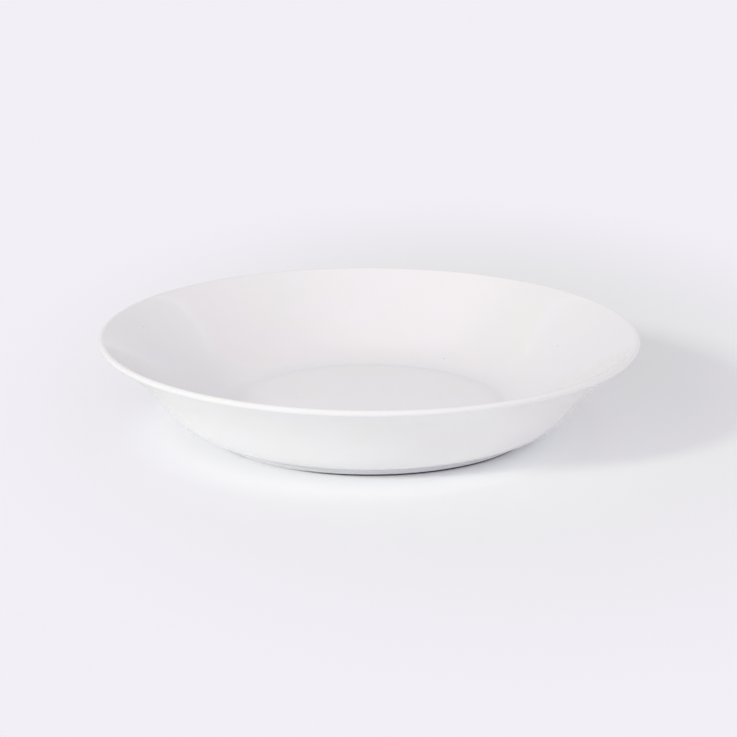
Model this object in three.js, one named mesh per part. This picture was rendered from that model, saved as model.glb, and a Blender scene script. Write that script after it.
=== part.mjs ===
// A round deep plate in white glazed porcelain, in millimetres, with +Z up.
// It stands on z = 0 and turns about Z. The fired body carries its own foot ring.
// One coat of glaze covers the inside, the rim and the outside down to the foot.
// A second patch of glaze fills the recess under the base. The foot's standing band between them is bare.
import * as THREE from "three";

// Rim
const RIM_DIAMETER = 210;
const PLATE_HEIGHT = 37.7;
const RIM_THICKNESS = 2.4;

// Well, the flat floor inside
const WELL_DIAMETER = 106;
const WELL_HEIGHT = 8.3;
const WELL_FILLET = 8;

// Wall: slopes in degrees above level, and how far each end pulls the curve, as a share of its chord
const INNER_WELL_SLOPE = 15;
const INNER_WELL_PULL = 0.12;
const INNER_RIM_SLOPE = 37.3;
const INNER_RIM_PULL = 0.82;
const OUTER_FOOT_SLOPE = 8;
const OUTER_FOOT_PULL = 0.32;
const OUTER_RIM_SLOPE = 34.5;
const OUTER_RIM_PULL = 0.61;

// Foot ring: the diameter and width are those of its glazed faces, carried down to the table
const FOOT_DIAMETER = 129.2;
const FOOT_WIDTH = 5.6;
const FOOT_HEIGHT = 3.2;
const FOOT_DRAFT = 10;
const FOOT_FILLET = 1.5;
const FOOT_EDGE = 0.6;

// Recess under the base
const RECESS_DEPTH = 2.6;
const RECESS_FILLET = 1.2;

// Glaze: how thick it is, and how far above the table it stops on the foot's two faces
const GLAZE_THICKNESS = 0.3;
const GLAZE_LINE = 0.9;

// Facets
const SEGMENTS = 56;
const WALL_STEPS = 8;
const RIM_STEPS = 6;
const FILLET_STEPS = 3;

const radians = THREE.MathUtils.degToRad;
const heading = (degrees) => new THREE.Vector2(Math.cos(radians(degrees)), Math.sin(radians(degrees)));
const rightOf = (way) => new THREE.Vector2(way.y, -way.x);

// Profiles are drawn in the plane of radius and height, with the body on the left of the way they run.

// An arc that leaves a point along one heading and turns to another, to the left where the turn is positive.
function turnFrom(start, degrees, turn, radius) {
  const side = Math.sign(turn);
  const centre = start.clone().addScaledVector(rightOf(heading(degrees)), -side * radius);
  const first = radians(degrees - side * 90);
  return new THREE.EllipseCurve(centre.x, centre.y, radius, radius, first, first + radians(turn), turn < 0);
}

// The arc that rounds a corner between two straight runs.
function round(corner, from, to, radius) {
  const reach = radius * Math.tan(Math.abs(radians(to - from)) / 2);
  const start = corner.clone().addScaledVector(heading(from), -reach);
  return turnFrom(start, from, to - from, radius);
}

// A smooth wall between two points, leaving one and reaching the other along set headings.
function wallCurve(start, from, fromPull, end, to, toPull) {
  const chord = start.distanceTo(end);
  const leave = start.clone().addScaledVector(heading(from), fromPull * chord);
  const arrive = end.clone().addScaledVector(heading(to), -toPull * chord);
  return new THREE.CubicBezierCurve(start, leave, arrive, end);
}

// Points along a curve, each with the direction that faces out of the plate.
function trace(curve, steps) {
  return Array.from({ length: steps + 1 }, (_, step) => ({
    point: curve.getPoint(step / steps),
    out: rightOf(curve.getTangent(step / steps)),
  }));
}

const surface = (skin) => skin.map(({ point }) => point);
const underside = (skin) => skin.map(({ point, out }) => point.clone().addScaledVector(out, -GLAZE_THICKNESS));

// A solid of revolution about Z. A profile that runs clockwise leaves the lathe inside out, so it is turned.
function revolve(profile) {
  const geometry = new THREE.LatheGeometry(profile, SEGMENTS);
  geometry.rotateX(Math.PI / 2);
  if (THREE.ShapeUtils.isClockWise(profile)) geometry.index.array.reverse();
  return geometry;
}

// The foot's faces lean by the draft, so that the ring is narrowest at the table.
const faceUp = 90 - FOOT_DRAFT;
const faceDown = -faceUp;
const lean = Math.tan(radians(FOOT_DRAFT));
const footOutside = FOOT_DIAMETER / 2;
const footInside = footOutside - FOOT_WIDTH;
const outerFace = (height) => new THREE.Vector2(footOutside + height * lean, height);
const innerFace = (height) => new THREE.Vector2(footInside - height * lean, height);

// The glazed skin from the foot's outer face, up the wall, over the rim and down to the middle of the floor.
function coatSkin() {
  const foot = round(outerFace(FOOT_HEIGHT), faceUp, OUTER_FOOT_SLOPE, FOOT_FILLET);
  const rimRadius = RIM_THICKNESS / 2;
  const rimCentre = new THREE.Vector2(RIM_DIAMETER / 2 - rimRadius, PLATE_HEIGHT - rimRadius);
  const wallTop = rimCentre.clone().addScaledVector(rightOf(heading(OUTER_RIM_SLOPE)), rimRadius);
  const wall = wallCurve(
    foot.getPoint(1), OUTER_FOOT_SLOPE, OUTER_FOOT_PULL,
    wallTop, OUTER_RIM_SLOPE, OUTER_RIM_PULL,
  );
  const rim = turnFrom(wallTop, OUTER_RIM_SLOPE, 180 + INNER_RIM_SLOPE - OUTER_RIM_SLOPE, rimRadius);
  const wellEdge = new THREE.Vector2(WELL_DIAMETER / 2, WELL_HEIGHT);
  wellEdge.x += WELL_FILLET * Math.tan(radians(INNER_WELL_SLOPE) / 2);
  const well = round(wellEdge, 180 + INNER_WELL_SLOPE, 180, WELL_FILLET);
  const inside = wallCurve(
    rim.getPoint(1), 180 + INNER_RIM_SLOPE, INNER_RIM_PULL,
    well.getPoint(0), 180 + INNER_WELL_SLOPE, INNER_WELL_PULL,
  );
  return [
    { point: outerFace(GLAZE_LINE), out: rightOf(heading(faceUp)) },
    ...trace(foot, FILLET_STEPS),
    ...trace(wall, WALL_STEPS).slice(1),
    ...trace(rim, RIM_STEPS).slice(1),
    ...trace(inside, WALL_STEPS).slice(1),
    ...trace(well, FILLET_STEPS).slice(1),
    { point: new THREE.Vector2(0, WELL_HEIGHT), out: new THREE.Vector2(0, 1) },
  ];
}

// The glazed skin of the recess, from the middle of the base out and down the foot's inner face.
function recessSkin() {
  const edge = round(innerFace(RECESS_DEPTH), 0, faceDown, RECESS_FILLET);
  return [
    { point: new THREE.Vector2(0, RECESS_DEPTH), out: new THREE.Vector2(0, -1) },
    ...trace(edge, FILLET_STEPS),
    { point: innerFace(GLAZE_LINE), out: rightOf(heading(faceDown)) },
  ];
}

// The bare standing band of the foot, from its inner face round to its outer face.
function bareFoot() {
  const glazeStep = GLAZE_THICKNESS / Math.cos(radians(FOOT_DRAFT));
  const inner = innerFace(0);
  const outer = outerFace(0);
  inner.x += glazeStep;
  outer.x -= glazeStep;
  return [
    ...trace(round(inner, faceDown, 0, FOOT_EDGE), FILLET_STEPS),
    ...trace(round(outer, 0, faceUp, FOOT_EDGE), FILLET_STEPS),
  ];
}

const coat = coatSkin();
const recess = recessSkin();

// Body and glaze share the points where they meet, so they lie face to face.
const bodyProfile = [...underside(recess), ...surface(bareFoot()), ...underside(coat)];
const coatProfile = [...surface(coat).reverse(), ...underside(coat)];
const baseProfile = [...underside(recess), ...surface(recess).reverse()];

const bareBody = new THREE.MeshStandardMaterial({ color: 0xe9e4dc, roughness: 0.75, metalness: 0 });
const wallGlaze = new THREE.MeshStandardMaterial({ color: 0xf3f1f1, roughness: 0.1, metalness: 0 });
const recessGlaze = new THREE.MeshStandardMaterial({ color: 0xf1eff0, roughness: 0.12, metalness: 0 });

function piece(name, profile, material) {
  const mesh = new THREE.Mesh(revolve(profile), material);
  mesh.name = name;
  return mesh;
}

const plate = new THREE.Group();
plate.name = "deep_plate";
plate.add(
  piece("porcelain_body", bodyProfile, bareBody),
  piece("glaze_coat", coatProfile, wallGlaze),
  piece("base_glaze", baseProfile, recessGlaze),
);

export default plate;
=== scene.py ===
"""A deep plate in white glazed porcelain: its looks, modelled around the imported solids.

The three pieces are turned about Z from profiles in the plane of radius and height, in metres.
They follow the solids that they replace, with finer curves and a rounded edge to the glaze.
"""
import math

import bpy
from bpy.props import FloatProperty, FloatVectorProperty, IntProperty, PointerProperty
from mathutils import Matrix, Vector


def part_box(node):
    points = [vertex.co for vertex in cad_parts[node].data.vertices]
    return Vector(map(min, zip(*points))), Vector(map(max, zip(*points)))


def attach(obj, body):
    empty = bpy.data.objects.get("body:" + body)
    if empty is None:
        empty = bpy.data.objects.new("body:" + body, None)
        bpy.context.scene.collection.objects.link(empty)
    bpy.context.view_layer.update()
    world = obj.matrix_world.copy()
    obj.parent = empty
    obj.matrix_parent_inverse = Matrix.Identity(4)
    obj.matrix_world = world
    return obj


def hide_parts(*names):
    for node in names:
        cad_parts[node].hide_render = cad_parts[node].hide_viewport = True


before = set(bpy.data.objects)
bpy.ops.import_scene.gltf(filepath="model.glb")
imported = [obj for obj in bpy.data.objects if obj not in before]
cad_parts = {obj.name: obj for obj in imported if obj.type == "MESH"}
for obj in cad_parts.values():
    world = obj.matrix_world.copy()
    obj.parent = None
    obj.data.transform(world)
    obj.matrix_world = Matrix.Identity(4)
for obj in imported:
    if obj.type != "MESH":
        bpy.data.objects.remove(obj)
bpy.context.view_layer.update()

bl_info = {
    "name": "Deep plate",
    "version": (1, 0, 0),
    "blender": (4, 5, 0),
    "location": "View3D > Sidebar > Deep plate",
    "description": "Models a glazed porcelain deep plate and its studio around the packed solids",
    "category": "Object",
}

MM = 0.001

# The solids' own reach, to a tenth of a millimetre
PLACES = 4
RIM_RADIUS = round(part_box("glaze_coat")[1].x, PLACES)
PLATE_HEIGHT = round(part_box("glaze_coat")[1].z, PLACES)

# The photograph's frame, in pixels, and the camera that was fitted to it
FRAME_WIDTH = 737
FOCAL_PIXELS = 2125.0
SENSOR_WIDTH = 36.0
CAMERA_DISTANCE = 0.84
CAMERA_ELEVATION = 17.80
CAMERA_TILT = 1.4535
CAMERA_PAN = 0.0237
CAMERA_ROLL = 0.200


def length(name, description, default):
    """A size that a user can change."""
    return FloatProperty(name=name, description=description, default=default, unit="LENGTH", precision=5)


def angle(name, description, degrees):
    """An angle that a user can change, written in degrees."""
    return FloatProperty(name=name, description=description, default=math.radians(degrees), subtype="ANGLE")


def share(name, description, default):
    """A fraction that a user can change."""
    return FloatProperty(
        name=name, description=description, default=default, min=0, max=1, subtype="FACTOR")


def colour(name, description, default):
    """A linear colour that a user can change."""
    return FloatVectorProperty(
        name=name, description=description, default=default, size=3, min=0, max=1, subtype="COLOR")


def strength(name, description, default):
    """A brightness that a user can change: 1 shows a white surface as white."""
    return FloatProperty(name=name, description=description, default=default, min=0)


class PlateShape(bpy.types.PropertyGroup):
    """Sizes of the plate, taken on the finished glaze."""
    rim_radius: length("Rim radius", "From the axis to the outermost edge", RIM_RADIUS)
    height: length("Height", "From the table to the top of the rim", PLATE_HEIGHT)
    rim_thickness: length("Rim thickness", "Across the rounded edge", 2.4 * MM)
    well_radius: length("Well radius", "Of the flat floor inside", 53 * MM)
    well_height: length("Well height", "From the table to the flat floor", 8.3 * MM)
    well_fillet: length("Well fillet", "Radius between floor and wall", 8 * MM)
    inner_well_slope: angle("Inner well slope", "Inside wall above level, where it leaves the well", 15)
    inner_well_pull: share("Inner well pull", "How far that slope holds, as a share of the wall", 0.12)
    inner_rim_slope: angle("Inner rim slope", "Inside wall above level, at the rim", 37.3)
    inner_rim_pull: share("Inner rim pull", "How far that slope holds, as a share of the wall", 0.82)
    outer_foot_slope: angle("Outer foot slope", "Outside wall above level, at the foot", 8)
    outer_foot_pull: share("Outer foot pull", "How far that slope holds, as a share of the wall", 0.32)
    outer_rim_slope: angle("Outer rim slope", "Outside wall above level, at the rim", 34.5)
    outer_rim_pull: share("Outer rim pull", "How far that slope holds, as a share of the wall", 0.61)
    foot_radius: length("Foot radius", "Of the foot's outer face, carried down to the table", 64.6 * MM)
    foot_width: length("Foot width", "Across the foot ring at the table", 5.6 * MM)
    foot_height: length("Foot height", "From the table to the outside wall", 3.2 * MM)
    foot_draft: angle("Foot draft", "Lean of the foot's two faces", 10)
    foot_fillet: length("Foot fillet", "Radius between foot and outside wall", 1.5 * MM)
    foot_edge: length("Foot edge", "Radius of the bare foot's two edges", 0.6 * MM)
    recess_depth: length("Recess depth", "From the table up to the base", 2.6 * MM)
    recess_fillet: length("Recess fillet", "Radius between base and foot", 1.2 * MM)
    glaze_thickness: length("Glaze thickness", "Of the coat over the body", 0.3 * MM)
    glaze_line: length("Glaze line", "Height at which the glaze stops on the foot", 0.9 * MM)
    turn_steps: IntProperty(name="Turn steps", description="Facets round the plate", default=256, min=24)


class PlateFinish(bpy.types.PropertyGroup):
    """Colours and gloss of the glaze and of the bare body."""
    glaze: colour("Glaze", "White of the glazed surface", (0.922, 0.908, 0.911))
    # Real pooled glaze, and at the foot also the painted blue of the shade under the wall
    pooled_and_shade_blue: colour("Pooled glaze", "Where the glaze runs together and thickens", (0.905, 0.893, 0.958))
    # Painted shade: the darker ring in the corner between the well's floor and wall
    well_shade: colour(
        "Settled glaze", "Where the glaze lies thickest, at the edge of the well", (0.888, 0.875, 0.890))
    thinned: colour("Thinned glaze", "Where the glaze draws away from an edge", (0.915, 0.892, 0.890))
    speck: colour("Iron speck", "Tiny dark spots in the glaze", (0.42, 0.39, 0.37))
    biscuit: colour("Bare body", "Fired porcelain with no glaze", (0.800, 0.785, 0.770))
    scuffed: colour("Scuffed body", "Bare body that has rubbed on tables", (0.480, 0.470, 0.465))
    # Painted shadow: a dark line where the foot meets the table, standing in for its contact shadow
    contact_shade: colour("Soiled edge", "Dark line that gathers along the foot's outer edge", (0.060, 0.057, 0.064))
    gloss: share("Glaze roughness", "Of the fired glaze", 0.08)


class PlateStudio(bpy.types.PropertyGroup):
    """Table, light and backdrop."""
    table: colour("Table", "Pale table under the plate", (0.960, 0.961, 0.965))
    backdrop: colour("Backdrop", "Where the table fades away", (0.888, 0.863, 0.921))
    # Painted light: the table glows round the foot in place of light thrown off the plate
    glow: strength("Table glow", "Faint light that comes up through the table", 0.120)
    glow_far: strength("Far glow", "What is left of that light away from the plate", 0.010)
    glow_colour: colour("Glow colour", "Tint of that light", (0.850, 0.950, 1.0))
    ambient: strength("Ambient", "Brightness all round, level with the table", 0.82)
    ambient_colour: colour("Ambient colour", "Tint of the light from all round", (0.984, 0.970, 1.0))
    ambient_right: strength("Right side", "How much brighter it is at the right", 0.225)
    ambient_near: strength("Near side", "How much brighter it is on the camera's side", 0.067)
    ambient_down: strength("Overhead", "How much darker it is overhead", 0.225)
    key: strength("Key lamp", "Brightness of the soft lamp at the left front", 57.2)
    key_colour: colour("Key colour", "Tint of the key lamp", (0.971, 1.0, 0.920))
    panel: strength("Panel", "How much brighter the middle of the overhead panel is", 0.66)
    panel_base: strength("Panel base", "Brightness of the whole overhead panel", 1.02)
    panel_frame: strength("Panel frame", "How much brighter its edge is", 0.34)
    panel_colour: colour("Panel colour", "Tint of the overhead panel", (1.0, 0.790, 0.870))
    frame_colour: colour("Frame colour", "Tint of its edge", (0.950, 1.0, 1.0))


# Profiles run with the body on the left, and each point carries the way that faces out of it.

def heading(turn):
    """The way that an angle above level points."""
    return Vector((math.cos(turn), math.sin(turn)))


def right_of(way):
    """A quarter turn clockwise."""
    return Vector((way.y, -way.x))


def arc(start, leave, turn, radius, steps):
    """Leaves a point along one heading and turns, to the left where the turn is positive."""
    side = math.copysign(1, turn)
    centre = start - side * radius * right_of(heading(leave))
    skin = []
    for step in range(steps + 1):
        out = right_of(heading(leave + turn * step / steps))
        skin.append((centre + side * radius * out, out))
    return skin


def corner(point, arrive, leave, radius, steps):
    """Rounds the corner between two straight runs."""
    reach = radius * math.tan(abs(leave - arrive) / 2)
    return arc(point - reach * heading(arrive), arrive, leave - arrive, radius, steps)


def wall(start, leave, leave_pull, end, arrive, arrive_pull, steps):
    """A smooth curve that leaves one point and reaches another along set headings."""
    chord = (end - start).length
    first = start + leave_pull * chord * heading(leave)
    second = end - arrive_pull * chord * heading(arrive)
    skin = []
    for step in range(steps + 1):
        t = step / steps
        low, middle, high = start.lerp(first, t), first.lerp(second, t), second.lerp(end, t)
        near, far = low.lerp(middle, t), middle.lerp(high, t)
        skin.append((near.lerp(far, t), right_of((far - near).normalized())))
    return skin


def straight(start, end, steps):
    """Even steps along a line, its first point left out."""
    out = right_of((end - start).normalized())
    return [(start.lerp(end, step / steps), out) for step in range(1, steps + 1)]


def finished(skin):
    """The glazed surface itself."""
    return [point for point, out in skin]


def under(skin, thickness):
    """The body's surface below a coat."""
    return [point - thickness * out for point, out in skin]


# Facets along the parts of a profile
WALL_STEPS = 28
RIM_STEPS = 30
FILLET_STEPS = 6
FLOOR_STEPS = 4
BEAD_STEPS = 6

# Points closer than this are one, and edges that turn more than this stay sharp
WELD = MM / 1000
SMOOTH_ANGLE = math.radians(40)


def foot_faces(shape):
    """The heading up the foot's outer face, and both faces as functions of height."""
    lean = math.tan(shape.foot_draft)
    inside = shape.foot_radius - shape.foot_width
    return (
        math.pi / 2 - shape.foot_draft,
        lambda height: Vector((shape.foot_radius + height * lean, height)),
        lambda height: Vector((inside - height * lean, height)),
    )


def coat_skin(shape):
    """From the glaze line on the foot, up the wall, over the rim and down to the middle of the well."""
    face_up, outer_face, _ = foot_faces(shape)
    line = outer_face(shape.glaze_line)
    foot = corner(
        outer_face(shape.foot_height), face_up, shape.outer_foot_slope, shape.foot_fillet, FILLET_STEPS)
    rim_radius = shape.rim_thickness / 2
    rim_centre = Vector((shape.rim_radius - rim_radius, shape.height - rim_radius))
    wall_top = rim_centre + rim_radius * right_of(heading(shape.outer_rim_slope))
    outside = wall(
        foot[-1][0], shape.outer_foot_slope, shape.outer_foot_pull,
        wall_top, shape.outer_rim_slope, shape.outer_rim_pull, WALL_STEPS)
    over = math.pi + shape.inner_rim_slope - shape.outer_rim_slope
    rim = arc(wall_top, shape.outer_rim_slope, over, rim_radius, RIM_STEPS)
    inwards = math.pi + shape.inner_well_slope
    well_edge = Vector((shape.well_radius, shape.well_height))
    well_edge.x += shape.well_fillet * math.tan(shape.inner_well_slope / 2)
    well = corner(well_edge, inwards, math.pi, shape.well_fillet, FILLET_STEPS)
    inside = wall(
        rim[-1][0], math.pi + shape.inner_rim_slope, shape.inner_rim_pull,
        well[0][0], inwards, shape.inner_well_pull, WALL_STEPS)
    middle = Vector((0, shape.well_height))
    floor = straight(well[-1][0], middle, FLOOR_STEPS)
    start = [(line, right_of(heading(face_up)))]
    return start + foot + outside[1:] + rim[1:] + inside[1:] + well[1:] + floor


def recess_skin(shape):
    """From the middle of the base, out and down the foot's inner face to the glaze line."""
    face_up, _, inner_face = foot_faces(shape)
    edge = corner(inner_face(shape.recess_depth), 0, -face_up, shape.recess_fillet, FILLET_STEPS)
    middle = Vector((0, shape.recess_depth))
    base = straight(middle, edge[0][0], FLOOR_STEPS)
    line = [(inner_face(shape.glaze_line), right_of(heading(-face_up)))]
    return [(middle, Vector((0, -1)))] + base + edge[1:] + line


def bare_foot(shape):
    """The bare standing band, from the foot's inner face round to its outer face."""
    face_up, outer_face, inner_face = foot_faces(shape)
    step = Vector((shape.glaze_thickness / math.cos(shape.foot_draft), 0))
    inner = corner(inner_face(0) + step, -face_up, 0, shape.foot_edge, FILLET_STEPS)
    outer = corner(outer_face(0) - step, 0, face_up, shape.foot_edge, FILLET_STEPS)
    return inner + outer


def bead(top, out, thickness):
    """The rounded lower edge of a coat, from its finished surface round to the body."""
    across = -out
    down = Vector((0, -1))
    down = (down - down.dot(out) * out).normalized()
    radius = thickness / 2
    centre = top + radius * across
    turns = [math.pi * step / BEAD_STEPS for step in range(1, BEAD_STEPS)]
    return [centre - radius * math.cos(turn) * across + radius * math.sin(turn) * down for turn in turns]


def turned_piece(name, profile, steps):
    """Draws a profile point by point from the axis back to the axis, and spins it into a closed solid."""
    bpy.ops.object.select_all(action="DESELECT")
    bpy.ops.mesh.primitive_plane_add(size=MM, location=(0, 0, 0))
    piece = bpy.context.object
    piece.name = name
    piece.data.name = name
    bpy.ops.object.mode_set(mode="EDIT")
    bpy.ops.mesh.select_all(action="SELECT")
    bpy.ops.mesh.merge(type="CENTER")
    first = profile[0]
    bpy.ops.transform.translate(value=(first.x, 0, first.y))
    for here, there in zip(profile, profile[1:]):
        move = there - here
        bpy.ops.mesh.extrude_vertices_move(TRANSFORM_OT_translate={"value": (move.x, 0, move.y)})
    bpy.ops.mesh.select_all(action="SELECT")
    bpy.ops.mesh.spin(steps=steps, angle=math.tau, center=(0, 0, 0), axis=(0, 0, 1), use_auto_merge=True)
    bpy.ops.mesh.select_all(action="SELECT")
    bpy.ops.mesh.remove_doubles(threshold=WELD)
    bpy.ops.mesh.normals_make_consistent(inside=False)
    bpy.ops.object.mode_set(mode="OBJECT")
    bpy.ops.object.shade_smooth_by_angle(angle=SMOOTH_ANGLE)
    if not all(closed_edges(piece)):
        raise RuntimeError(name + " is not a closed solid")
    return piece


def closed_edges(piece):
    """For each edge, whether exactly two faces meet on it."""
    faces = {}
    for face in piece.data.polygons:
        for key in face.edge_keys:
            faces[key] = faces.get(key, 0) + 1
    return [faces.get(edge.key) == 2 for edge in piece.data.edges]


# Materials

def add(tree, kind, place, **settings):
    """A node at a place in its tree, with its settings."""
    made = tree.nodes.new(kind)
    made.location = place
    for key, value in settings.items():
        setattr(made, key, value)
    return made


def feed(tree, socket, value):
    """Fills a socket from another socket, or with a value of its own."""
    if isinstance(value, bpy.types.NodeSocket):
        tree.links.new(value, socket)
    else:
        socket.default_value = value


def math_node(tree, operation, place, *values):
    """A Math node: each value is a number or the socket that it comes from."""
    made = add(tree, "ShaderNodeMath", place, operation=operation)
    for socket, value in zip(made.inputs, values):
        feed(tree, socket, value)
    return made.outputs[0]


# Vector Math operations that give one number
MEASURES = ("DISTANCE", "LENGTH", "DOT_PRODUCT")


def vector_node(tree, operation, place, *values):
    """A Vector Math node: each value is a triple or the socket that it comes from."""
    made = add(tree, "ShaderNodeVectorMath", place, operation=operation)
    for socket, value in zip(made.inputs, values):
        feed(tree, socket, value)
    return made.outputs["Value" if operation in MEASURES else "Vector"]


def noise_node(tree, place, coordinates, scale, detail):
    """A noise: its scale is a number or the socket that it comes from."""
    made = add(tree, "ShaderNodeTexNoise", place)
    made.inputs["Detail"].default_value = detail
    tree.links.new(coordinates, made.inputs["Vector"])
    feed(tree, made.inputs["Scale"], scale)
    return made.outputs["Fac"]


def bump_node(tree, place, height, distance, shader):
    """Makes a shader's surface uneven: a height of 1 stands out by the distance."""
    made = add(tree, "ShaderNodeBump", place)
    made.inputs["Strength"].default_value = 1.0
    made.inputs["Distance"].default_value = distance
    tree.links.new(height, made.inputs["Height"])
    tree.links.new(made.outputs["Normal"], shader.inputs["Normal"])


def smooth_range(tree, place, value, low, high, start, end):
    """A value carried smoothly from one range to another."""
    made = add(tree, "ShaderNodeMapRange", place, interpolation_type="SMOOTHSTEP")
    tree.links.new(value, made.inputs["Value"])
    for name, limit in (("From Min", low), ("From Max", high), ("To Min", start), ("To Max", end)):
        feed(tree, made.inputs[name], limit)
    return made.outputs["Result"]


def mix_colour(tree, place, mask, below, above):
    """One colour over another, by a mask."""
    made = add(tree, "ShaderNodeMix", place, data_type="RGBA")
    tree.links.new(mask, made.inputs["Factor"])
    for socket, value in ((made.inputs["A"], below), (made.inputs["B"], above)):
        if isinstance(value, bpy.types.NodeSocket):
            tree.links.new(value, socket)
        else:
            socket.default_value = (*value, 1)
    return made.outputs["Result"]


def mix_shader(tree, place, mask, below, above):
    """One shader over another, by a mask."""
    made = add(tree, "ShaderNodeMixShader", place)
    for socket, source in zip(made.inputs, (mask, below, above)):
        tree.links.new(source, socket)
    return made.outputs[0]


def new_group(name, inputs, outputs):
    """An empty node group with named float inputs, or vector ones where the default is a triple."""
    tree = bpy.data.node_groups.new(name, "ShaderNodeTree")
    for label, default in inputs.items():
        kind = "NodeSocketVector" if isinstance(default, tuple) else "NodeSocketFloat"
        socket = tree.interface.new_socket(name=label, in_out="INPUT", socket_type=kind)
        socket.default_value = default
    for label in outputs:
        tree.interface.new_socket(name=label, in_out="OUTPUT", socket_type="NodeSocketFloat")
    enter = add(tree, "NodeGroupInput", (-900, 0))
    leave = add(tree, "NodeGroupOutput", (700, 0))
    return tree, enter.outputs, leave.inputs


def place_group(tree, group, place, **values):
    """A node group in a tree, with its own values."""
    made = add(tree, "ShaderNodeGroup", place, node_tree=group)
    for name, value in values.items():
        socket = made.inputs[name.replace("_", " ").capitalize()]
        socket.default_value = value
    return made.outputs


def ring_band():
    """A soft mask round a level circle."""
    if "Ring band" in bpy.data.node_groups:
        return bpy.data.node_groups["Ring band"]
    sizes = {"Centre": (0.0, 0.0, 0.0), "Radius": 0.05, "Reach": 0.005, "Weight": 1.0}
    tree, enter, leave = new_group("Ring band", sizes, ["Mask"])
    place = add(tree, "ShaderNodeTexCoord", (-1080, 250)).outputs["Object"]
    aside = vector_node(tree, "SUBTRACT", (-900, 250), place, enter["Centre"])
    parts = add(tree, "ShaderNodeSeparateXYZ", (-720, 250))
    tree.links.new(aside, parts.inputs[0])
    x, y, z = parts.outputs
    square_x = math_node(tree, "MULTIPLY", (-540, 320), x, x)
    square_r = math_node(tree, "MULTIPLY_ADD", (-360, 320), y, y, square_x)
    radius = math_node(tree, "SQRT", (-180, 320), square_r)
    off_r = math_node(tree, "SUBTRACT", (0, 320), radius, enter["Radius"])
    square_z = math_node(tree, "MULTIPLY", (180, 160), z, z)
    square = math_node(tree, "MULTIPLY_ADD", (340, 240), off_r, off_r, square_z)
    apart = math_node(tree, "SQRT", (500, 240), square)
    mask = smooth_range(tree, (500, 60), apart, 0, enter["Reach"], enter["Weight"], 0)
    tree.links.new(mask, leave["Mask"])
    return tree


# Noise swings about a half, and mostly stays within these
NOISE_LOW = 0.3
NOISE_HIGH = 0.7
# How much finer detail the waves and the peel of the glaze hold
WAVE_DETAIL = 1.5
PEEL_DETAIL = 0.0


def glaze_flow():
    """How a fired glaze lies: long waves where it ran, and a fine peel over them."""
    if "Glaze flow" in bpy.data.node_groups:
        return bpy.data.node_groups["Glaze flow"]
    sizes = {"Wave": 0.022, "Peel": 0.0018, "Peel share": 0.04}
    tree, enter, leave = new_group("Glaze flow", sizes, ["Height", "Mottle"])
    place = add(tree, "ShaderNodeTexCoord", (-900, 250)).outputs["Object"]
    wave_scale = math_node(tree, "DIVIDE", (-700, 250), 1.0, enter["Wave"])
    peel_scale = math_node(tree, "DIVIDE", (-700, 0), 1.0, enter["Peel"])
    wave = noise_node(tree, (-500, 250), place, wave_scale, WAVE_DETAIL)
    peel = noise_node(tree, (-500, 0), place, peel_scale, PEEL_DETAIL)
    height = math_node(tree, "MULTIPLY_ADD", (-200, 150), peel, enter["Peel share"], wave)
    tree.links.new(height, leave["Height"])
    mottle = smooth_range(tree, (0, -150), wave, NOISE_LOW, NOISE_HIGH, 0, 1)
    tree.links.new(mottle, leave["Mottle"])
    return tree


def iron_specks():
    """Sparse dark spots, at random, one in some of the cells of an even scatter."""
    if "Iron specks" in bpy.data.node_groups:
        return bpy.data.node_groups["Iron specks"]
    tree, enter, leave = new_group("Iron specks", {"Cell": 0.011, "Kept": 0.06, "Size": 0.018}, ["Mask"])
    place = add(tree, "ShaderNodeTexCoord", (-900, 250)).outputs["Object"]
    scale = math_node(tree, "DIVIDE", (-700, 50), 1.0, enter["Cell"])
    cells = add(tree, "ShaderNodeTexVoronoi", (-500, 150))
    tree.links.new(place, cells.inputs["Vector"])
    tree.links.new(scale, cells.inputs["Scale"])
    lot = add(tree, "ShaderNodeSeparateColor", (-300, 50))
    tree.links.new(cells.outputs["Color"], lot.inputs[0])
    kept = math_node(tree, "LESS_THAN", (-100, 50), lot.outputs["Red"], enter["Kept"])
    size = math_node(tree, "MULTIPLY", (-100, -120), lot.outputs["Green"], enter["Size"])
    spot = smooth_range(tree, (120, 150), cells.outputs["Distance"], 0, size, 1, 0)
    tree.links.new(math_node(tree, "MULTIPLY", (400, 100), spot, kept), leave["Mask"])
    return tree


def single_speck():
    """One speck at a place on the plate."""
    if "Single speck" in bpy.data.node_groups:
        return bpy.data.node_groups["Single speck"]
    tree, enter, leave = new_group("Single speck", {"Centre": (0.0, 0.0, 0.0), "Size": 0.0004}, ["Mask"])
    place = add(tree, "ShaderNodeTexCoord", (-900, 250)).outputs["Object"]
    apart = vector_node(tree, "DISTANCE", (-500, 150), place, enter["Centre"])
    mask = smooth_range(tree, (0, 100), apart, 0, enter["Size"], 1, 0)
    tree.links.new(mask, leave["Mask"])
    return tree


# Specks that show in the photograph, where they lie on the plate, in millimetres
SPECKS = (
    (-91.2, 27.3, 31.5),
    (76.5, 31.9, 22.7),
    (31.2, 54.3, 10.8),
    (-28.9, 6.2, 8.3),
    (-34.3, -98.3, 34.7),
)


def new_material(name):
    """A material with its shader, ready for nodes."""
    material = bpy.data.materials.new(name)
    material.use_nodes = True
    tree = material.node_tree
    return material, tree, tree.nodes["Principled BSDF"]


# How far the glaze drifts towards its pooled tint over the plain surface
CLOUDING = 0.25

# The glaze's mirror level. It is left off in what the glaze itself mirrors.
GLAZE_MIRROR = 0.5

# How far the gloss varies either way, and how high the glaze's waves are
GLOSS_SPREAD = 0.2
WAVE_HEIGHT = 0.03 * MM


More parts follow.
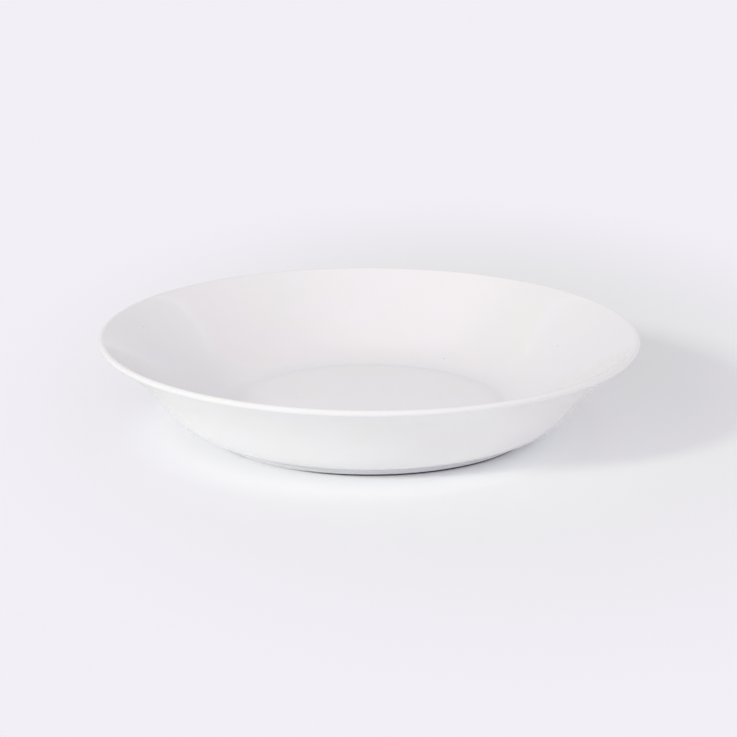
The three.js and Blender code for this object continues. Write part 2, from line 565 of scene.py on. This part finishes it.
def glaze_material(name, finish, rings, specks):
    """White gloss glaze: tinted along rings, some of them painted shade, with specks and a gently uneven
    surface.
    """
    material, tree, shader = new_material(name)
    shader.location = (900, 0)
    tree.nodes["Material Output"].location = (1200, 0)
    flow = place_group(tree, glaze_flow(), (-400, -400))
    cloud = smooth_range(tree, (-400, 300), flow["Mottle"], 0, 1, 0, CLOUDING)
    tint = mix_colour(tree, (-200, 300), cloud, finish.glaze, finish.pooled_and_shade_blue)
    for row, (shade, circle) in enumerate(rings):
        band = place_group(tree, ring_band(), (-400, 600 + 250 * row), **circle)
        tint = mix_colour(tree, (200 * row, 400), band["Mask"], tint, shade)
    dark = place_group(tree, iron_specks(), (-400, 0))["Mask"]
    for row, centre in enumerate(specks):
        spot = place_group(tree, single_speck(), (-400, -700 - 200 * row), centre=centre)
        dark = math_node(tree, "MAXIMUM", (-100, -700 - 200 * row), dark, spot["Mask"])
    tree.links.new(mix_colour(tree, (650, 200), dark, tint, finish.speck), shader.inputs["Base Color"])
    sleek = finish.gloss * (1 - GLOSS_SPREAD)
    dull = finish.gloss * (1 + GLOSS_SPREAD)
    rough = smooth_range(tree, (500, -100), flow["Mottle"], 0, 1, sleek, dull)
    tree.links.new(rough, shader.inputs["Roughness"])
    path = add(tree, "ShaderNodeLightPath", (300, -300))
    mirror = smooth_range(tree, (500, -250), path.outputs["Is Glossy Ray"], 0, 1, GLAZE_MIRROR, 0)
    tree.links.new(mirror, shader.inputs["Specular IOR Level"])
    bump_node(tree, (600, -400), flow["Height"], WAVE_HEIGHT, shader)
    return material


# The bare body's grain: its size, detail, height and the roughness that goes with it
GRAIN_SIZE = 0.35 * MM
GRAIN_DETAIL = 3
GRAIN_HEIGHT = 0.03 * MM
GRAIN_SLEEK = 0.68
GRAIN_DULL = 0.85
# Rubbed patches: their size and detail, the noise where they start and are full, and how far they cover
RUB_SIZE = 9 * MM
RUB_DETAIL = 5
RUB_START = 0.48
RUB_FULL = 0.72
RUB_COVER = 0.7


def biscuit_material(name, finish, edge):
    """Bare fired porcelain: matt, finely grained, rubbed grey where it stands, with a painted contact
    shadow along one edge.
    """
    material, tree, shader = new_material(name)
    place = add(tree, "ShaderNodeTexCoord", (-900, 0)).outputs["Object"]
    grain = noise_node(tree, (-600, -200), place, 1 / GRAIN_SIZE, GRAIN_DETAIL)
    rub = noise_node(tree, (-600, 200), place, 1 / RUB_SIZE, RUB_DETAIL)
    worn = smooth_range(tree, (-300, 200), rub, RUB_START, RUB_FULL, 0, RUB_COVER)
    rubbed = mix_colour(tree, (0, 200), worn, finish.biscuit, finish.scuffed)
    # Painted contact shadow along the foot's outer edge, thickest on the shaded side
    contact_shade = place_group(tree, ring_band(), (-300, 500), **edge)["Mask"]
    tree.links.new(mix_colour(tree, (200, 300), contact_shade, rubbed, finish.contact_shade), shader.inputs["Base Color"])
    rough = smooth_range(tree, (-100, -50), grain, NOISE_LOW, NOISE_HIGH, GRAIN_SLEEK, GRAIN_DULL)
    tree.links.new(rough, shader.inputs["Roughness"])
    bump_node(tree, (0, -300), grain, GRAIN_HEIGHT, shader)
    return material


# Rings: how far each lies in or out from the size that it follows, how far it reaches, and how heavy it is
# At the foot this ring is both pooled glaze and painted blue shade
FOOT_POOL_AND_SHADE = dict(out=1.0 * MM, reach=2.6 * MM, weight=1.0)
RIM_THIN = dict(out=-1.5 * MM, reach=2.2 * MM, weight=0.8)
# This ring is painted shade in the corner of the well
WELL_SHADE = dict(out=0.4 * MM, reach=6.5 * MM, weight=1.0)
RECESS_POOL = dict(out=-1.0 * MM, reach=2.5 * MM, weight=0.8)
RECESS_THIN = dict(out=0.0, reach=0.8 * MM, weight=0.8)
# This ring is painted shadow, where the foot stands on the table
CONTACT_SHADE = dict(out=-0.25 * MM, reach=0.75 * MM, weight=1.3)
CONTACT_SHADE_HEIGHT = 0.3 * MM

# The painted contact shadow's ring leans out of centre, so it lies thickest on the shaded side: from the
# camera towards the right
CONTACT_SHADE_LEAN = 2.5 * MM
CONTACT_SHADE_SIDE = math.radians(15)


def ring(radius, height, out, reach, weight, lean=0.0, side=0.0):
    """A level ring for the ring mask. One that leans keeps to its radius on the side that it leans to."""
    centre = (lean * math.sin(side), -lean * math.cos(side), height)
    return dict(centre=centre, radius=radius + out - lean, reach=reach, weight=weight)


def finish_piece(piece, node, material):
    """Gives a piece its finish, and its place in the frame."""
    piece.data.materials.append(material)
    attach(piece, "root")
    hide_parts(node)


class DEEPPLATE_OT_body(bpy.types.Operator):
    """Turns the fired porcelain body with its foot ring"""
    bl_idname = "deep_plate.body"
    bl_label = "Porcelain body"

    def execute(self, context):
        shape = context.scene.deep_plate_shape
        glaze = shape.glaze_thickness
        base = under(recess_skin(shape), glaze)
        profile = base + finished(bare_foot(shape)) + under(coat_skin(shape), glaze)
        piece = turned_piece("fired_body", profile, shape.turn_steps)
        # Painted contact shadow round the foot's outer edge
        edge = ring(shape.foot_radius, CONTACT_SHADE_HEIGHT, **CONTACT_SHADE, lean=CONTACT_SHADE_LEAN, side=CONTACT_SHADE_SIDE)
        material = biscuit_material("Bare porcelain", context.scene.deep_plate_finish, edge)
        finish_piece(piece, "porcelain_body", material)
        return {"FINISHED"}


class DEEPPLATE_OT_coat(bpy.types.Operator):
    """Turns the glaze over the inside, the rim and the outside of the plate"""
    bl_idname = "deep_plate.coat"
    bl_label = "Glaze coat"

    def execute(self, context):
        shape = context.scene.deep_plate_shape
        skin = coat_skin(shape)
        edge = bead(*skin[0], shape.glaze_thickness)
        profile = finished(skin)[::-1] + edge + under(skin, shape.glaze_thickness)
        piece = turned_piece("wall_glaze", profile, shape.turn_steps)
        finish = context.scene.deep_plate_finish
        rings = (
            # Pooled glaze at the foot, tinted with the painted blue of the shade under the wall
            (finish.pooled_and_shade_blue, ring(shape.foot_radius, shape.foot_height / 2, **FOOT_POOL_AND_SHADE)),
            (finish.thinned, ring(shape.rim_radius, shape.height, **RIM_THIN)),
            # Painted shade in the corner of the well
            (finish.well_shade, ring(shape.well_radius, shape.well_height, **WELL_SHADE)),
        )
        specks = [tuple(MM * part for part in place) for place in SPECKS]
        material = glaze_material("White glaze", finish, rings, specks)
        finish_piece(piece, "glaze_coat", material)
        return {"FINISHED"}


class DEEPPLATE_OT_base(bpy.types.Operator):
    """Turns the glaze in the recess under the base"""
    bl_idname = "deep_plate.base"
    bl_label = "Base glaze"

    def execute(self, context):
        shape = context.scene.deep_plate_shape
        skin = recess_skin(shape)
        edge = bead(*skin[-1], shape.glaze_thickness)
        profile = under(skin, shape.glaze_thickness) + edge[::-1] + finished(skin)[::-1]
        piece = turned_piece("base_glaze_pool", profile, shape.turn_steps)
        inside = shape.foot_radius - shape.foot_width
        finish = context.scene.deep_plate_finish
        rings = (
            (finish.pooled_and_shade_blue, ring(inside, shape.recess_depth, **RECESS_POOL)),
            (finish.thinned, ring(inside, shape.glaze_line, **RECESS_THIN)),
        )
        material = glaze_material("Base glaze", finish, rings, ())
        finish_piece(piece, "base_glaze", material)
        return {"FINISHED"}


class DEEPPLATE_OT_studio(bpy.types.Operator):
    """Lays the table and sets the lights, the backdrop and the camera"""
    bl_idname = "deep_plate.studio"
    bl_label = "Studio"

    def execute(self, context):
        studio = context.scene.deep_plate_studio
        lay_table(studio)
        hang_lamp("key_lamp", studio.key, studio.key_colour, **KEY_LAMP)
        hang_panel(studio)
        paint_backdrop(context.scene, studio)
        stand_camera(context.scene)
        context.scene.view_settings.view_transform = "Standard"
        return {"FINISHED"}


TABLE_SIZE = 12.0
TABLE_ROUGHNESS = 0.6

# The opening inside the foot ring: its radius, and how it dims what passes through it
AXIS = (0.0, 0.0, 0.0)
TABLE_OPENING = 0.0630
CLEAR = (1.0, 1.0, 1.0)
OPENING_SHADE = (0.93, 0.93, 0.93)

# Where the table fades into the backdrop: an oval's middle and half sizes, and its share of plain table
FADE_CENTRE = (0.045, 0.085, 0.0)
FADE_REACH = (0.229, 0.368, 1.0)
FADE_START = 0.262

# The table's painted glow, standing in for light thrown off the plate onto the table: it grows from the
# foot's shade to its peak, and falls away further out
SHADE_CENTRE = (0.002, -0.0015, 0.0)
GLOW_START = 0.0620
GLOW_PEAK = 0.0690
GLOW_CENTRE = (-0.005, -0.004, 0.0)
GLOW_FALL = 0.073
GLOW_END = 0.095


def lay_table(studio):
    """A wide pale table that fades into the backdrop, clear from below, open inside the foot ring, and with
    a painted glow round the foot.
    """
    bpy.ops.object.select_all(action="DESELECT")
    bpy.ops.mesh.primitive_plane_add(size=TABLE_SIZE, location=(0, 0, 0))
    table = bpy.context.object
    table.name = "studio_table"
    material, tree, shader = new_material("Pale table")
    shader.inputs["Base Color"].default_value = (*studio.table, 1)
    shader.inputs["Roughness"].default_value = TABLE_ROUGHNESS
    shader.inputs["Specular IOR Level"].default_value = 0.0
    # Painted light: emission on the table round the foot, standing in for light thrown off the plate
    shader.inputs["Emission Color"].default_value = (*studio.glow_colour, 1)
    place = add(tree, "ShaderNodeTexCoord", (-1100, 300)).outputs["Object"]
    from_shade = vector_node(tree, "DISTANCE", (-900, 0), place, SHADE_CENTRE)
    near = smooth_range(tree, (-700, 0), from_shade, GLOW_START, GLOW_PEAK, 0, 1)
    from_glow = vector_node(tree, "DISTANCE", (-900, -250), place, GLOW_CENTRE)
    far = smooth_range(tree, (-700, -250), from_glow, GLOW_FALL, GLOW_END, studio.glow, studio.glow_far)
    glow = math_node(tree, "MULTIPLY", (-500, -100), near, far)
    tree.links.new(glow, shader.inputs["Emission Strength"])
    away = oval_mask(tree, (-300, 300), FADE_CENTRE, FADE_REACH, FADE_START, 0, 1)
    path = add(tree, "ShaderNodeLightPath", (-500, 600))
    shown = math_node(tree, "MULTIPLY", (-100, 400), away, path.outputs["Is Camera Ray"])
    plain = add(tree, "ShaderNodeEmission", (0, -200))
    plain.inputs["Color"].default_value = (*studio.backdrop, 1)
    faded = mix_shader(tree, (300, 100), shown, shader.outputs[0], plain.outputs[0])
    below = add(tree, "ShaderNodeNewGeometry", (-300, 800)).outputs["Backfacing"]
    from_axis = vector_node(tree, "DISTANCE", (-500, 1000), place, AXIS)
    opening = math_node(tree, "LESS_THAN", (-300, 1000), from_axis, TABLE_OPENING)
    through = math_node(tree, "MAXIMUM", (0, 900), below, opening)
    clear = add(tree, "ShaderNodeBsdfTransparent", (300, -200))
    veil = mix_colour(tree, (100, -350), opening, CLEAR, OPENING_SHADE)
    tree.links.new(veil, clear.inputs["Color"])
    mixed = mix_shader(tree, (600, 0), through, faded, clear.outputs[0])
    tree.links.new(mixed, tree.nodes["Material Output"].inputs["Surface"])
    table.data.materials.append(material)


# The key lamp: azimuth from the camera towards the right and elevation, in degrees, and distance and size
KEY_LAMP = dict(azimuth=-48, elevation=25.5, distance=3.0, width=0.45, height=0.40)


def hang_lamp(name, brightness, tint, azimuth, elevation, distance, width, height):
    """A soft rectangular lamp that faces the plate and doesn't mirror in the glaze."""
    azimuth, elevation = math.radians(azimuth), math.radians(elevation)
    towards = Vector((
        math.cos(elevation) * math.sin(azimuth),
        -math.cos(elevation) * math.cos(azimuth),
        math.sin(elevation)))
    turn = towards.to_track_quat("Z", "Y").to_euler()
    bpy.ops.object.light_add(type="AREA", location=distance * towards, rotation=turn)
    light = bpy.context.object
    light.name = name
    light.data.shape = "RECTANGLE"
    light.data.size = width
    light.data.size_y = height
    light.data.energy = brightness * math.pi * width * height
    light.data.color = tint
    light.visible_camera = False
    light.visible_glossy = False


# The overhead panel that the glaze reflects: its height, half width, far and near edges and frame
PANEL_HEIGHT = 1.155
PANEL_SIDE = 0.714
PANEL_FAR = 1.284
PANEL_NEAR = -0.900
PANEL_FRAME = 0.024
PANEL_SOFT = 0.010
# The brightest place on it: the middle and half sizes of an oval
SPOT_MIDDLE = (-0.190, 0.290, 0.0)
SPOT_REACH = (0.620, 0.420, 1.0)
SPOT_CORE = 0.25


# A plane of this size has a half size of 1, and this flattens a place to the level that it lies over
PLANE_SIZE = 2
FLATTEN = (1, 1, 0)


def oval_mask(tree, place, middle, reach, start, inside, outside):
    """A value that goes smoothly from one inside an oval to another at its edge, seen from above."""
    column, row = place
    coordinates = add(tree, "ShaderNodeTexCoord", (column - 1000, row)).outputs["Object"]
    level = vector_node(tree, "MULTIPLY", (column - 800, row), coordinates, FLATTEN)
    aside = vector_node(tree, "SUBTRACT", (column - 600, row), level, middle)
    scaled = vector_node(tree, "DIVIDE", (column - 400, row), aside, reach)
    apart = vector_node(tree, "LENGTH", (column - 200, row), scaled)
    return smooth_range(tree, place, apart, start, 1, inside, outside)


def hang_panel(studio):
    """A wide panel over the plate that shows only in the glaze: a bright place and a thin bright frame."""
    middle = (PANEL_FAR + PANEL_NEAR) / 2
    bpy.ops.object.select_all(action="DESELECT")
    bpy.ops.mesh.primitive_plane_add(size=PLANE_SIZE, location=(0, 0, 0))
    panel = bpy.context.object
    panel.name = "overhead_panel"
    bpy.ops.object.mode_set(mode="EDIT")
    bpy.ops.mesh.select_all(action="SELECT")
    bpy.ops.transform.resize(value=(PANEL_SIDE, (PANEL_FAR - PANEL_NEAR) / 2, 1))
    bpy.ops.transform.translate(value=(0, middle, PANEL_HEIGHT))
    bpy.ops.object.mode_set(mode="OBJECT")
    material, tree, shader = new_material("Overhead panel")
    place = add(tree, "ShaderNodeTexCoord", (-1300, 0)).outputs["Object"]
    parts = add(tree, "ShaderNodeSeparateXYZ", (-1100, 0))
    tree.links.new(place, parts.inputs[0])
    side = math_node(tree, "ABSOLUTE", (-900, 150), parts.outputs["X"])
    from_side = math_node(tree, "SUBTRACT", (-700, 150), PANEL_SIDE, side)
    from_far = math_node(tree, "SUBTRACT", (-700, 0), PANEL_FAR, parts.outputs["Y"])
    inside = math_node(tree, "MINIMUM", (-500, 100), from_side, from_far)
    edge = smooth_range(tree, (-300, 100), inside, PANEL_FRAME, PANEL_FRAME + PANEL_SOFT, 1, 0)
    spot = oval_mask(tree, (-300, -250), SPOT_MIDDLE, SPOT_REACH, SPOT_CORE, studio.panel, 0)
    more = math_node(tree, "MULTIPLY_ADD", (-100, 0), edge, studio.panel_frame, spot)
    total = math_node(tree, "ADD", (50, 0), more, studio.panel_base)
    tint = mix_colour(tree, (-100, 300), edge, studio.panel_colour, studio.frame_colour)
    tree.links.new(tint, shader.inputs["Emission Color"])
    shader.inputs["Base Color"].default_value = (0, 0, 0, 1)
    shader.inputs["Specular IOR Level"].default_value = 0.0
    tree.links.new(total, shader.inputs["Emission Strength"])
    panel.data.materials.append(material)
    panel.visible_camera = False
    panel.visible_diffuse = False
    panel.visible_transmission = False
    panel.visible_shadow = False


def paint_backdrop(scene, studio):
    """Soft light from all round, and the plain backdrop for what looks at it."""
    world = bpy.data.worlds.new("Studio")
    scene.world = world
    world.use_nodes = True
    tree = world.node_tree
    light = tree.nodes["Background"]
    light.inputs["Color"].default_value = (*studio.ambient_colour, 1)
    way = add(tree, "ShaderNodeTexCoord", (-900, 0)).outputs["Generated"]
    brighter = (studio.ambient_right, -studio.ambient_near, -studio.ambient_down)
    lean = vector_node(tree, "DOT_PRODUCT", (-700, 0), way, brighter)
    level = math_node(tree, "ADD", (-400, 0), lean, studio.ambient)
    tree.links.new(level, light.inputs["Strength"])
    shown = add(tree, "ShaderNodeBackground", (0, -200))
    shown.inputs["Color"].default_value = (*studio.backdrop, 1)
    path = add(tree, "ShaderNodeLightPath", (-500, 300))
    seen = math_node(
        tree, "MAXIMUM", (-200, 300), path.outputs["Is Camera Ray"], path.outputs["Is Glossy Ray"])
    seen = math_node(tree, "MAXIMUM", (0, 300), seen, path.outputs["Is Transmission Ray"])
    mixed = mix_shader(tree, (250, 0), seen, light.outputs[0], shown.outputs[0])
    tree.links.new(mixed, tree.nodes["World Output"].inputs["Surface"])


def stand_camera(scene):
    """The camera where the photograph was taken from."""
    elevation = math.radians(CAMERA_ELEVATION)
    place = CAMERA_DISTANCE * Vector((0, -math.cos(elevation), math.sin(elevation)))
    pitch = math.pi / 2 - elevation + math.radians(CAMERA_TILT)
    look = Matrix.Rotation(math.radians(CAMERA_PAN), 3, "Z") @ Matrix.Rotation(pitch, 3, "X")
    look = look @ Matrix.Rotation(math.radians(CAMERA_ROLL), 3, "Z")
    bpy.ops.object.camera_add(location=place, rotation=look.to_euler())
    camera = bpy.context.object
    camera.name = "photo_camera"
    camera.data.sensor_width = SENSOR_WIDTH
    camera.data.lens = FOCAL_PIXELS / FRAME_WIDTH * SENSOR_WIDTH
    scene.camera = camera


class DEEPPLATE_PT_panel(bpy.types.Panel):
    """Lists the plate's pieces and their sizes"""
    bl_idname = "DEEPPLATE_PT_panel"
    bl_label = "Deep plate"
    bl_space_type = "VIEW_3D"
    bl_region_type = "UI"
    bl_category = "Deep plate"

    def draw(self, context):
        for operator in OPERATORS:
            self.layout.operator(operator.bl_idname)
        for name, kind in GROUPS.items():
            group = getattr(context.scene, name)
            box = self.layout.box()
            for key in kind.__annotations__:
                box.prop(group, key)


GROUPS = {
    "deep_plate_shape": PlateShape,
    "deep_plate_finish": PlateFinish,
    "deep_plate_studio": PlateStudio,
}
OPERATORS = (DEEPPLATE_OT_body, DEEPPLATE_OT_coat, DEEPPLATE_OT_base, DEEPPLATE_OT_studio)
CLASSES = (*GROUPS.values(), *OPERATORS, DEEPPLATE_PT_panel)


def register():
    """Makes the groups, the operators and the panel known to Blender."""
    for made in CLASSES:
        bpy.utils.register_class(made)
    for name, group in GROUPS.items():
        setattr(bpy.types.Scene, name, PointerProperty(type=group))


def unregister():
    """Takes them away again."""
    for name in GROUPS:
        delattr(bpy.types.Scene, name)
    for made in reversed(CLASSES):
        bpy.utils.unregister_class(made)


def main():
    """Models the plate and its studio."""
    register()
    bpy.ops.deep_plate.body()
    bpy.ops.deep_plate.coat()
    bpy.ops.deep_plate.base()
    bpy.ops.deep_plate.studio()


if __name__ == "__main__":
    main()
